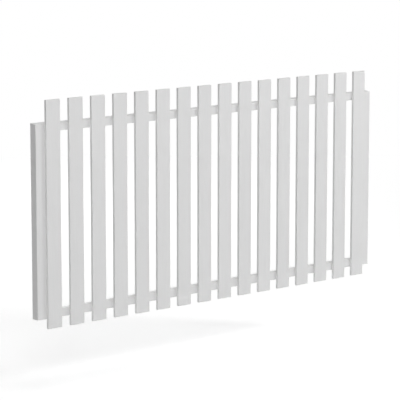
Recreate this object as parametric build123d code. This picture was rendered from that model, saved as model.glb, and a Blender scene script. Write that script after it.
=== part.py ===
from build123d import *
import math
import os

# A painted timber picket panel: sixteen flat, square-topped pickets fixed on the face of a frame.
# The frame has two stiles and two rails, and each rail is tenoned blind into both stiles.
# Millimetres. X runs along the panel, Y from its front to its back, and Z is up.
# The origin is the middle of the left stile's outer side, the face that is fastened to a post.

# Pickets
picket_count = 16
picket_pitch = 109.8
picket_width = 67.0
picket_thickness = 11.0
picket_above_frame = 90.0
picket_below_frame = 39.0
picket_easing = 1.0

# The arris taken off the sawn ends of pickets and stiles
end_arris = 0.5

# Stiles, the two upright members
stile_width = 70.0
stile_depth = 35.0
stile_height = 771.0
stile_past_picket = 43.0

# Rails, the two level members, which are flush with the stiles in front and thinner than they are
rail_height = 34.5
rail_depth = 28.0

# The frame's top falls towards the front, so that rain runs off
weathering_angle = 7.0
frame_easing = 1.5

# The blind, haunched tenon on each end of a rail, and the mortise that takes it
tenon_length = 45.0
tenon_thickness = 10.0
tenon_shoulder = 6.0
haunch_length = 15.0
haunch_depth = 6.0
haunch_cover = 3.0
mortise_end_clearance = 1.0

# Worked out from the sizes above
picket_row_length = picket_pitch * (picket_count - 1) + picket_width
panel_length = picket_row_length + 2 * stile_past_picket
picket_height = picket_below_frame + stile_height + picket_above_frame
rail_length = panel_length - 2 * stile_width
frame_front = -stile_depth / 2
frame_back = frame_front + stile_depth
frame_bottom = -stile_height / 2
frame_top = frame_bottom + stile_height
rail_middle = frame_front + rail_depth / 2
weathering_slope = math.tan(math.radians(weathering_angle))


def top_height_at(depth):
    """Height of the frame's weathered top at a place between its front and its back."""
    return frame_top - (frame_back - depth) * weathering_slope


def board(outline, start, length):
    """A board along X from an outline of (Y, Z) corners."""
    section = Plane.YZ.offset(start) * make_face(Polyline(*outline, close=True))
    return extrude(section, length)


def haunched_tenon(length, shoulder_edge, root, side):
    """A tenon along +X from X = 0, with a haunch that slopes away from the end of the stile.

    shoulder_edge is the height of the tenon's inner edge, root is the height of the haunch where
    it meets the shoulder, and side is +1 where the haunch is on top and -1 where it is below.
    """
    haunch_end = root - side * haunch_depth
    outline = [
        (0, shoulder_edge),
        (length, shoulder_edge),
        (length, haunch_end),
        (haunch_length, haunch_end),
        (0, root),
    ]
    side_view = Plane.XZ * make_face(Polyline(*outline, close=True))
    tenon = extrude(side_view, tenon_thickness / 2, both=True)
    return Pos(0, rail_middle, 0) * tenon


def top_tenon(length):
    """The top rail's tenon, whose haunch stays under the weathered top."""
    lowest_top = top_height_at(rail_middle - tenon_thickness / 2)
    shoulder_edge = frame_top - rail_height + tenon_shoulder
    return haunched_tenon(length, shoulder_edge, lowest_top - haunch_cover, 1)


def bottom_tenon(length):
    """The bottom rail's tenon, whose haunch stays above the bottom of the stile."""
    shoulder_edge = frame_bottom + rail_height - tenon_shoulder
    return haunched_tenon(length, shoulder_edge, frame_bottom + haunch_cover, -1)


def eased_upright(sawn_board, easing):
    """An upright board with its long edges rounded and a fine arris round its two ends."""
    rounded = fillet(sawn_board.edges().filter_by(Axis.Z), easing)
    ends = sawn_board.faces().sort_by(Axis.Z)
    arrised = chamfer(ends[0].edges() + ends[-1].edges(), end_arris)
    return rounded & arrised


def mirrored_end(solid):
    """The same solid at the other end of the panel."""
    return Pos(panel_length, 0, 0) * mirror(solid, about=Plane.YZ)


def left_stile():
    """The upright at the left end, with its two mortises cut from the inner side."""
    outline = [
        (frame_front, frame_bottom),
        (frame_back, frame_bottom),
        (frame_back, frame_top),
        (frame_front, top_height_at(frame_front)),
    ]
    stile = eased_upright(board(outline, 0, stile_width), frame_easing)
    mortise_depth = tenon_length + mortise_end_clearance
    for tenon in (top_tenon, bottom_tenon):
        mortise = Pos(stile_width, 0, 0) * mirror(tenon(mortise_depth), about=Plane.YZ)
        stile = stile - mortise
    return stile


def rail(outline, tenon):
    """A rail between the stiles, with eased edges and a tenon on each end."""
    body = board(outline, stile_width, rail_length)
    body = fillet(body.edges().filter_by(Axis.X), frame_easing)
    left_tenon = Pos(stile_width, 0, 0) * mirror(tenon(tenon_length), about=Plane.YZ)
    return body + left_tenon + mirrored_end(left_tenon)


def top_rail():
    """The rail whose top carries on the weathering of the stiles."""
    back = frame_front + rail_depth
    bottom = frame_top - rail_height
    outline = [
        (frame_front, bottom),
        (back, bottom),
        (back, top_height_at(back)),
        (frame_front, top_height_at(frame_front)),
    ]
    return rail(outline, top_tenon)


def bottom_rail():
    """The rail at the foot of the frame, square in section."""
    back = frame_front + rail_depth
    top = frame_bottom + rail_height
    outline = [(frame_front, frame_bottom), (back, frame_bottom), (back, top), (frame_front, top)]
    return rail(outline, bottom_tenon)


def picket(number):
    """One flat picket with eased edges, fixed on the front of both rails."""
    left = stile_past_picket + (number - 1) * picket_pitch
    sawn_board = Box(picket_width, picket_thickness, picket_height)
    eased_board = eased_upright(sawn_board, picket_easing)
    middle_x = left + picket_width / 2
    middle_y = frame_front - picket_thickness / 2
    middle_z = frame_bottom - picket_below_frame + picket_height / 2
    return Pos(middle_x, middle_y, middle_z) * eased_board


os.makedirs("parts", exist_ok=True)

pieces = {
    "left_stile": left_stile(),
    "right_stile": mirrored_end(left_stile()),
    "top_rail": top_rail(),
    "bottom_rail": bottom_rail(),
}
for number in range(1, picket_count + 1):
    pieces[f"picket_{number:02d}"] = picket(number)

for name, solid in pieces.items():
    export_step(solid, f"parts/{name}.step")
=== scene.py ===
import math

import bpy
import numpy as np
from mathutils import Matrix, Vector


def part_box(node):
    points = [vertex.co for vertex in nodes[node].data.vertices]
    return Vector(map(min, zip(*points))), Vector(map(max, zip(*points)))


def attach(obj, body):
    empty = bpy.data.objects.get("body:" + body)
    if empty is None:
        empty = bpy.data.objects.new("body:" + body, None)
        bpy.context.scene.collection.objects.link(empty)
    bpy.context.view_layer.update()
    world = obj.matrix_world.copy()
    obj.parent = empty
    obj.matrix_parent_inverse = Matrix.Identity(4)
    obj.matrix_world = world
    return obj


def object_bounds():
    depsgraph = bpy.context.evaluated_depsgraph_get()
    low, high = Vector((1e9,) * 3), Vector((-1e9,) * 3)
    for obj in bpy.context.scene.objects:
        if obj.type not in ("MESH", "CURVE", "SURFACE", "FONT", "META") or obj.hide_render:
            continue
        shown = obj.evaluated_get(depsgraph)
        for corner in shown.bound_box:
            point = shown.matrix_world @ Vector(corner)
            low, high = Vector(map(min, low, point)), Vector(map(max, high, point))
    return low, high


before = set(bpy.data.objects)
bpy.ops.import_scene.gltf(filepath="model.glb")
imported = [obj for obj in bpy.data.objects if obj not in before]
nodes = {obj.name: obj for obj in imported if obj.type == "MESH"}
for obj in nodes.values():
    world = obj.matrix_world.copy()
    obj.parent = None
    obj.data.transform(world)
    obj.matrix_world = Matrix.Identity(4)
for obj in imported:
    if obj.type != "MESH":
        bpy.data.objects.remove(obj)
cad_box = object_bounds()


# The pickets: sixteen planed softwood boards, square at the top, with edges eased by the planer.
# They are primed and brushed with two coats of white satin exterior paint, strokes up and down,
# and are screwed on from the back, so that no fixing breaks the paint of their faces.

# The paint: its white and roughness, how far the thin film on the edges reaches, in metres, and
# what shows through it
PAINT_WHITE = 0.80
PAINT_ROUGHNESS = 0.46
EDGE_REACH = 0.0026
EDGE_RAGGED = 0.002
BARE_EDGE = (0.70, 0.68, 0.64)
EDGE_BARE_SHARE = 0.15
EDGE_PATCHY = 0.6

# The growth rings, and the pith line behind each board that they run round, in metres
RING_WIDTH = 0.0034
RING_WAVER = 0.0012
PITH_BEHIND = 0.050
PITH_SIDEWAYS = 0.030
PITH_DRIFT = 0.050
BOARD_APART = 3.7

# How narrow the crests of the rings are, how far the pith leans in a metre, and the share of its
# drift that goes through the board's depth
RING_SHARPNESS = 3.0
PITH_LEAN = 0.025
DRIFT_IN_DEPTH = 0.6

# Noise: its cells in a metre across the board's width, through it and along it, and how many
# finer layers lie over it
DRIFT_CELLS, DRIFT_LAYERS = (4.0, 4.0, 1.6), 1.0
WAVER_CELLS, WAVER_LAYERS = (120.0, 120.0, 6.0), 2.0
STROKE_CELLS, STROKE_LAYERS = (640.0, 640.0, 8.0), 3.0
PATCH_CELLS, PATCH_LAYERS = (16.0, 16.0, 3.5), 2.0

# What rings, brush strokes, patches and the board's own tone do to the white and the roughness
RING_SHADE = -0.012
STROKE_SHADE = 0.018
PATCH_SHADE = 0.030
BOARD_SHADE = 0.008
RING_ROUGHNESS = 0.03
STROKE_ROUGHNESS = 0.14
EDGE_ROUGHNESS = 0.06
END_ROUGHNESS = 0.12

# How near a sawn end its rougher film starts and is full, and how high rings and strokes stand,
# in metres
END_GRAIN_FROM = 0.0012
END_GRAIN_FULL = 0.0004
RING_RELIEF = 0.00006
STROKE_RELIEF = 0.00004


class Finish:
    """A finish while it is mixed: a node tree, and the kinds of node that the finishes use."""

    def __init__(self, tree):
        self.tree = tree

    def feed(self, socket, source):
        """A socket takes another node's output, or a plain number or vector."""
        if isinstance(source, bpy.types.NodeSocket):
            self.tree.links.new(source, socket)
        else:
            socket.default_value = source

    def node(self, kind, inputs=None, **settings):
        """A new node with its settings, and with its inputs fed by their names or places."""
        new = self.tree.nodes.new(kind)
        for setting, value in settings.items():
            setattr(new, setting, value)
        for place, source in (inputs or {}).items():
            self.feed(new.inputs[place], source)
        return new

    def maths(self, operation, *sources):
        """One sum, product or other operation on numbers."""
        new = self.node("ShaderNodeMath", dict(enumerate(sources)), operation=operation)
        return new.outputs[0]

    def total(self, first, *others):
        """All the numbers added up."""
        for other in others:
            first = self.maths("ADD", first, other)
        return first

    def vector(self, operation, *sources):
        """One operation on vectors, axis by axis."""
        new = self.node("ShaderNodeVectorMath", dict(enumerate(sources)), operation=operation)
        return new.outputs[0]

    def length(self, source):
        """The length of a vector."""
        return self.node("ShaderNodeVectorMath", {0: source}, operation="LENGTH").outputs["Value"]

    def point(self, x, y, z):
        """Three numbers made one vector."""
        return self.node("ShaderNodeCombineXYZ", {0: x, 1: y, 2: z}).outputs[0]

    def alike(self, number):
        """One number as all three parts of a vector."""
        return self.point(number, number, number)

    def parts(self, source):
        """The three numbers of a vector."""
        return self.node("ShaderNodeSeparateXYZ", {0: source}).outputs

    def place(self):
        """Where a point of the surface is, in the object's own coordinates."""
        return self.node("ShaderNodeTexCoord").outputs["Object"]

    def noise(self, place, cells, layers):
        """Smooth noise from -0.5 to 0.5, with so many cells in a metre on each axis."""
        inputs = {"Vector": self.vector("MULTIPLY", place, cells), "Scale": 1.0, "Detail": layers}
        return self.maths("SUBTRACT", self.node("ShaderNodeTexNoise", inputs).outputs[0], 0.5)

    def chance(self, number):
        """Three random values from 0 to 1 that belong to a whole number."""
        dice = self.node("ShaderNodeTexWhiteNoise", {"W": number}, noise_dimensions="1D")
        return self.parts(dice.outputs["Color"])

    def either_way(self, chance, most):
        """A chance from 0 to 1 as a value from -most to most."""
        return self.maths("MULTIPLY_ADD", chance, 2.0 * most, -most)

    def ramp(self, value, start, end):
        """0 up to start, 1 from end on, and a smooth step between them."""
        inputs = {"Value": value, "From Min": start, "From Max": end}
        return self.node("ShaderNodeMapRange", inputs, interpolation_type="SMOOTHSTEP").outputs[0]

    def bump(self, height, relief, inputs=None):
        """The normal of a surface that rises by the relief, in metres, as the height rises by 1."""
        inputs = {"Strength": 1.0, "Distance": relief, "Height": height} | (inputs or {})
        return self.node("ShaderNodeBump", inputs).outputs["Normal"]


def middle_and_half(name):
    """The middle of a node's box, and half of its size on each axis."""
    low, high = (np.array(corner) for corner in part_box(name))
    return (low + high) / 2, (high - low) / 2


def board_places(finish, first_board, next_board, across, along):
    """A board's number, its own coordinates, and half of its size on each of them.

    The number is the distance along the row from the first board, over the pitch, to the nearest
    whole number. The coordinates run from the board's middle: across its width, through its depth
    and along its grain.
    """
    middle, half = middle_and_half(first_board)
    axes = ["XYZ".index(axis) for axis in (across, "Y", along)]
    pitch = middle_and_half(next_board)[0][axes[0]] - middle[axes[0]]
    place = finish.parts(finish.place())
    in_row, depth, length = [finish.maths("SUBTRACT", place[axis], middle[axis]) for axis in axes]
    number = finish.maths("FLOOR", finish.maths("MULTIPLY_ADD", in_row, 1.0 / pitch, 0.5))
    width = finish.maths("MULTIPLY_ADD", number, -pitch, in_row)
    return number, (width, depth, length), half[axes]


def growth_rings(finish, places, timber, chance):
    """Late wood, from 0 to 1, as arches on a board's faces and arcs on its sawn ends.

    It is a sine of the distance from the pith, one wave to a ring, brought to 0 to 1 and raised
    to a power that narrows its crests. The pith is a line behind the board, shifted and leant by
    the board's own chance, and it drifts along the board by a slow noise. A finer noise makes
    each ring waver.
    """
    width, depth, length = places
    drift = finish.maths("MULTIPLY", finish.noise(timber, DRIFT_CELLS, DRIFT_LAYERS), PITH_DRIFT)
    lean = finish.maths("MULTIPLY", length, finish.either_way(chance[1], PITH_LEAN))
    pith_across = finish.total(finish.either_way(chance[0], PITH_SIDEWAYS), drift)
    pith_depth = finish.total(PITH_BEHIND, lean, finish.maths("MULTIPLY", drift, DRIFT_IN_DEPTH))
    across = finish.maths("SUBTRACT", width, pith_across)
    through = finish.maths("SUBTRACT", depth, pith_depth)
    from_pith = finish.length(finish.point(across, through, 0.0))
    waver = finish.maths("MULTIPLY", finish.noise(timber, WAVER_CELLS, WAVER_LAYERS), RING_WAVER)
    turns = finish.maths("MULTIPLY", finish.total(from_pith, waver), math.tau / RING_WIDTH)
    crest = finish.maths("MULTIPLY_ADD", finish.maths("SINE", turns), 0.5, 0.5)
    return finish.maths("POWER", crest, RING_SHARPNESS)


def edge_and_end(finish, places, halves, patches):
    """How near a point is to an edge, and whether it is on a sawn end, each from 0 to 1.

    The distance to an edge is the middle one of the distances to the side, the face and the end.
    """
    to_side, to_face, to_end = [
        finish.maths("SUBTRACT", half, finish.maths("ABSOLUTE", place))
        for place, half in zip(places, halves)
    ]
    nearer = finish.maths("MINIMUM", to_side, to_face)
    further = finish.maths("MAXIMUM", to_side, to_face)
    to_edge = finish.maths("MAXIMUM", nearer, finish.maths("MINIMUM", further, to_end))
    ragged = finish.maths("MULTIPLY", patches, EDGE_RAGGED)
    edge = finish.ramp(finish.total(to_edge, ragged), EDGE_REACH, 0.0)
    return edge, finish.ramp(to_end, END_GRAIN_FROM, END_GRAIN_FULL)


def painted_timber(name, first_board, next_board, across, along):
    """White satin paint over planed softwood, in which every board has a grain of its own.

    The white is multiplied by a sum of small shades: 1, late wood a little darker, brush strokes,
    slow patches and the board's own tone. On the edges the film is thin, and some of the timber
    shows through. The rings and the strokes stand in relief, one bump over the other.
    """
    material = bpy.data.materials.new(name)
    material.use_nodes = True
    finish = Finish(material.node_tree)
    number, places, halves = board_places(finish, first_board, next_board, across, along)
    chance = finish.chance(number)

    # Every board comes from a stretch of timber of its own
    width, depth, length = places
    stretch = finish.maths("MULTIPLY_ADD", number, BOARD_APART, length)
    timber = finish.point(width, depth, stretch)

    rings = growth_rings(finish, places, timber, chance)
    strokes = finish.noise(timber, STROKE_CELLS, STROKE_LAYERS)
    patches = finish.noise(timber, PATCH_CELLS, PATCH_LAYERS)
    edge, end_grain = edge_and_end(finish, places, halves, patches)

    shade = finish.total(
        1.0,
        finish.maths("MULTIPLY", rings, RING_SHADE),
        finish.maths("MULTIPLY", strokes, STROKE_SHADE),
        finish.maths("MULTIPLY", patches, PATCH_SHADE),
        finish.either_way(chance[2], BOARD_SHADE),
    )
    white = finish.alike(finish.maths("MULTIPLY", shade, PAINT_WHITE))
    bare_share = finish.maths("MULTIPLY_ADD", patches, EDGE_PATCHY, EDGE_BARE_SHARE)
    thin = finish.alike(finish.maths("MULTIPLY", edge, bare_share))
    towards_bare = tuple(bare - PAINT_WHITE for bare in BARE_EDGE)
    colour = finish.vector("MULTIPLY_ADD", thin, towards_bare, white)

    roughness = finish.total(
        PAINT_ROUGHNESS,
        finish.maths("MULTIPLY", strokes, STROKE_ROUGHNESS),
        finish.maths("MULTIPLY", rings, RING_ROUGHNESS),
        finish.maths("MULTIPLY", edge, EDGE_ROUGHNESS),
        finish.maths("MULTIPLY", end_grain, END_ROUGHNESS),
    )
    relief = finish.bump(strokes, STROKE_RELIEF, {"Normal": finish.bump(rings, RING_RELIEF)})

    shader = material.node_tree.nodes["Principled BSDF"]
    finish.feed(shader.inputs["Base Color"], colour)
    finish.feed(shader.inputs["Roughness"], roughness)
    finish.feed(shader.inputs["Normal"], relief)
    return material


picket_paint = painted_timber("picket_paint", "picket_01", "picket_02", "X", "Z")
pickets = [nodes[name] for name in sorted(nodes) if name.startswith("picket_")]
for board in pickets:
    board.material_slots[0].material = picket_paint


# The stiles: two uprights of the same softwood, 70 by 35 mm, at the ends of the frame. Their tops
# fall towards the front to shed rain, and blind mortises in their inner sides take the rails.

stile_paint = painted_timber("stile_paint", "left_stile", "right_stile", "X", "Z")
for name in ("left_stile", "right_stile"):
    nodes[name].material_slots[0].material = stile_paint


# The rails: two level members with their grain along the panel, tenoned and glued into the
# stiles and flush with them in front. The pickets are fixed across their faces.

rail_paint = painted_timber("rail_paint", "bottom_rail", "top_rail", "Z", "X")
for name in ("top_rail", "bottom_rail"):
    nodes[name].material_slots[0].material = rail_paint


# The screws: two countersunk steel screws hold each picket at each rail. They are driven from the
# back of the rail and stop inside the picket. Two coats of paint cover them: they round off the
# rim of the head, meet the rail round it and half fill the cross.

# The screw, how far it stands out of the rail, and how far apart the two are, in metres
HEAD_RADIUS = 0.0040
HEAD_RIM = 0.0004
HEAD_DEPTH = 0.0026
SHANK_RADIUS = 0.0020
SCREW_LENGTH = 0.0350
POINT_LENGTH = 0.0040
HEAD_PROUD = 0.00025
SCREW_SPREAD = 0.0380

# The skirt of paint round the head, and the cross in its face, in metres
PAINT_SKIRT = 0.0009
PAINT_FOOT = 0.00026
CROSS_DEPTH = 0.0014
CROSS_REACH = 0.0026
CROSS_HALF_WIDTH = 0.0006
CROSS_SIDE = 0.0004

# The points of a ring, and the rings over the cross and down the skirt
STEPS_ROUND = 32
CROSS_RINGS = 6
SKIRT_RINGS = 4


def screw_surface():
    """One screw as rings round its axis, head outwards along +Y, from its face to its point.

    The profile runs from the middle of the face to its edge. Half a wave of cosine takes the
    paint from there down to its foot, just under the rail's surface, and the rim, the countersunk
    cone and the shank follow. The cross is sunk into the face, to its full depth near the middle
    line of either arm, and slopes up beside the arm and at its end.
    """
    down = np.linspace(0.0, 1.0, SKIRT_RINGS + 1)[1:]
    radius = np.concatenate([
        np.linspace(0.0, CROSS_REACH - CROSS_SIDE, CROSS_RINGS),
        [CROSS_REACH, HEAD_RADIUS],
        HEAD_RADIUS + PAINT_SKIRT * down,
        [HEAD_RADIUS, SHANK_RADIUS, SHANK_RADIUS, 0.0],
    ])[:, None]
    depth = np.concatenate([
        np.zeros(CROSS_RINGS + 2),
        PAINT_FOOT * (1.0 - np.cos(math.pi * down)) / 2,
        [HEAD_RIM, HEAD_DEPTH, SCREW_LENGTH - POINT_LENGTH, SCREW_LENGTH],
    ])[:, None]
    turn = np.linspace(0.0, math.tau, STEPS_ROUND, endpoint=False)
    across = radius * np.cos(turn)
    up = radius * np.sin(turn)
    beside_arm = np.minimum(np.abs(across), np.abs(up)) - CROSS_HALF_WIDTH
    in_arm = np.clip(1.0 - beside_arm / CROSS_SIDE, 0.0, 1.0)
    in_reach = np.clip((CROSS_REACH - radius) / CROSS_SIDE, 0.0, 1.0)
    on_face = depth == 0.0
    inward = depth + CROSS_DEPTH * in_arm * in_reach * on_face
    return np.stack([across, -inward, up], axis=-1)


def screw_faces(rings):
    """Quads between neighbouring rings, and a fan of triangles at either end.

    The first ring is one vertex, the middle of the face, and so is the last, the point. A face
    takes a step and the one after it on one ring, and the same two on the next.
    """
    step = np.arange(STEPS_ROUND)
    after = (step + 1) % STEPS_ROUND
    start = 1 + STEPS_ROUND * np.arange(rings - 3)[:, None]
    outer = start + STEPS_ROUND
    quads = np.stack([start + step, start + after, outer + after, outer + step], -1)
    point = 1 + STEPS_ROUND * (rings - 2)
    last = point - STEPS_ROUND
    middle_fan = np.stack([np.zeros_like(step), 1 + after, 1 + step], -1)
    point_fan = np.stack([np.full_like(step, point), last + step, last + after], -1)
    return quads.reshape(-1, 4), np.concatenate([middle_fan, point_fan])


def screws(name, rail):
    """All the screws of one rail, in one mesh.

    The one screw's points are added to the place of each, half the spread to either side of the
    picket's middle and half way up the rail. Its faces are repeated, each time with as many more
    as it has points.
    """
    low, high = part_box(rail)
    surface = screw_surface()
    one = np.concatenate([surface[:1, 0], surface[1:-1].reshape(-1, 3), surface[-1:, 0]])
    middles = np.array([middle_and_half(board.name)[0][0] for board in pickets])
    across = (middles[:, None] + np.array([-0.5, 0.5]) * SCREW_SPREAD).ravel()
    back = np.full_like(across, high[1] + HEAD_PROUD)
    level = np.full_like(across, (low[2] + high[2]) / 2)
    points = np.stack([across, back, level], -1)[:, None, :] + one
    copies = len(one) * np.arange(len(across))[:, None, None]
    faces = [(copies + part).reshape(-1, part.shape[1]) for part in screw_faces(len(surface))]
    mesh = bpy.data.meshes.new(name)
    mesh.from_pydata(points.reshape(-1, 3).tolist(), [], faces[0].tolist() + faces[1].tolist())
    mesh.polygons.foreach_set("use_smooth", [True] * len(mesh.polygons))
    mesh.update()
    mesh.materials.append(rail_paint)
    piece = bpy.data.objects.new(name, mesh)
    bpy.context.scene.collection.objects.link(piece)
    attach(piece, "root")


screws("top_rail_screws", "top_rail")
screws("bottom_rail_screws", "bottom_rail")


# The floor and the sky: the panel hangs from the side of its stile, clear of a wide, pale, matt
# floor that keeps its shadow. To the eye the floor turns plain white further out, and so is all
# that lies past it.

# How far the floor is below the panel, how far it reaches, and where it turns white, in metres
FLOOR_DROP = 0.25
FLOOR_REACH = 60.0
WHITE_FROM = 2.0
WHITE_FULL = 6.0

# The colours, the floor's glow to the eye, and the share of the sky that lights the panel
FLOOR_COLOUR = (0.90, 0.90, 0.90, 1.0)
FLOOR_GLOW = 0.46
SKY_COLOUR = (1.0, 1.0, 1.0, 1.0)
SKY_LIGHT = 0.03


def seen_by_eye(finish):
    """1 for the camera's own rays and for those by way of gloss or glass, and otherwise 0."""
    ray = finish.node("ShaderNodeLightPath").outputs
    by_way_of = finish.maths("MAXIMUM", ray["Is Glossy Ray"], ray["Is Transmission Ray"])
    return finish.maths("MAXIMUM", ray["Is Camera Ray"], by_way_of)


def floor_finish():
    """Pale and matt, with a white glow for the eye alone, which takes over further out.

    Near the panel the glow is added to the matt colour, so lit floor comes out white and a shadow
    stays darker. The share of plain white rises by a smooth step with distance from the panel.
    """
    material = bpy.data.materials.new("floor")
    material.use_nodes = True
    finish = Finish(material.node_tree)
    finish.tree.nodes.remove(finish.tree.nodes["Principled BSDF"])
    eye = seen_by_eye(finish)
    glow_to_eye = finish.maths("MULTIPLY", eye, FLOOR_GLOW)
    matt = finish.node("ShaderNodeBsdfDiffuse", {"Color": FLOOR_COLOUR}).outputs[0]
    glow = finish.node("ShaderNodeEmission", {"Strength": glow_to_eye}).outputs[0]
    near = finish.node("ShaderNodeAddShader", {0: matt, 1: glow}).outputs[0]
    white = finish.node("ShaderNodeEmission", {"Strength": 1.0}).outputs[0]
    further_out = finish.ramp(finish.length(finish.place()), WHITE_FROM, WHITE_FULL)
    share = finish.maths("MULTIPLY", eye, further_out)
    surface = finish.node("ShaderNodeMixShader", {0: share, 1: near, 2: white}).outputs[0]
    finish.feed(finish.tree.nodes["Material Output"].inputs["Surface"], surface)
    return material


panel_middle = (cad_box[0] + cad_box[1]) / 2
corners = FLOOR_REACH * np.array([(-1, -1, 0), (1, -1, 0), (1, 1, 0), (-1, 1, 0)])
floor_mesh = bpy.data.meshes.new("floor")
floor_mesh.from_pydata(corners.tolist(), [], [(0, 1, 2, 3)])
floor_mesh.materials.append(floor_finish())
floor = bpy.data.objects.new("floor", floor_mesh)
floor.location = (panel_middle.x, panel_middle.y, cad_box[0].z - FLOOR_DROP)
bpy.context.scene.collection.objects.link(floor)

world = bpy.data.worlds.new("sky")
world.use_nodes = True
bpy.context.scene.world = world
sky = Finish(world.node_tree)
sky_light = sky.maths("MULTIPLY_ADD", seen_by_eye(sky), 1.0 - SKY_LIGHT, SKY_LIGHT)
sky.feed(sky.tree.nodes["Background"].inputs["Color"], SKY_COLOUR)
sky.feed(sky.tree.nodes["Background"].inputs["Strength"], sky_light)


# The lamps: square soft boxes. A small key to the right throws each picket's shadow on the rails,
# a wide fill stands to the left, and two more light the tops and the back.


def softbox(name, place, width, watts):
    """A square lamp that faces the middle of the panel."""
    data = bpy.data.lights.new(name, "AREA")
    data.shape = "SQUARE"
    data.size = width
    data.energy = watts
    lamp = bpy.data.objects.new(name, data)
    lamp.location = place
    lamp.rotation_euler = (panel_middle - Vector(place)).to_track_quat("-Z", "Y").to_euler()
    bpy.context.scene.collection.objects.link(lamp)


softbox("key_right", place=(4.5, -3.2, 2.2), width=0.9, watts=86.0)
softbox("fill_left", place=(-4.0, -6.0, 3.0), width=3.0, watts=250.0)
softbox("above", place=(0.9, -1.5, 5.0), width=3.0, watts=76.0)
softbox("behind", place=(3.0, 7.0, 2.0), width=3.0, watts=290.0)


# The camera: it stands nearly 9 m off, 40 degrees to the left of square and 9 degrees above
# level, with a long lens. Its place was worked out from where the ends of all sixteen pickets
# lie in the photograph.

# Its place in metres, its angles, and its lens and sensor in millimetres
CAMERA_PLACE = (-4.723, -6.573, 1.411)
CAMERA_AZIMUTH = math.radians(-40.25)
CAMERA_ELEVATION = math.radians(9.31)
LENS_LENGTH = 190.6
SENSOR_WIDTH = 36.0

camera_data = bpy.data.cameras.new("camera")
camera_data.sensor_width = SENSOR_WIDTH
camera_data.lens = LENS_LENGTH
camera = bpy.data.objects.new("camera", camera_data)
camera.location = CAMERA_PLACE
sight = Vector((
    -math.sin(CAMERA_AZIMUTH) * math.cos(CAMERA_ELEVATION),
    math.cos(CAMERA_AZIMUTH) * math.cos(CAMERA_ELEVATION),
    -math.sin(CAMERA_ELEVATION),
))
camera.rotation_euler = sight.to_track_quat("-Z", "Y").to_euler()
bpy.context.scene.collection.objects.link(camera)
bpy.context.scene.camera = camera
bpy.context.scene.view_settings.view_transform = "Standard"
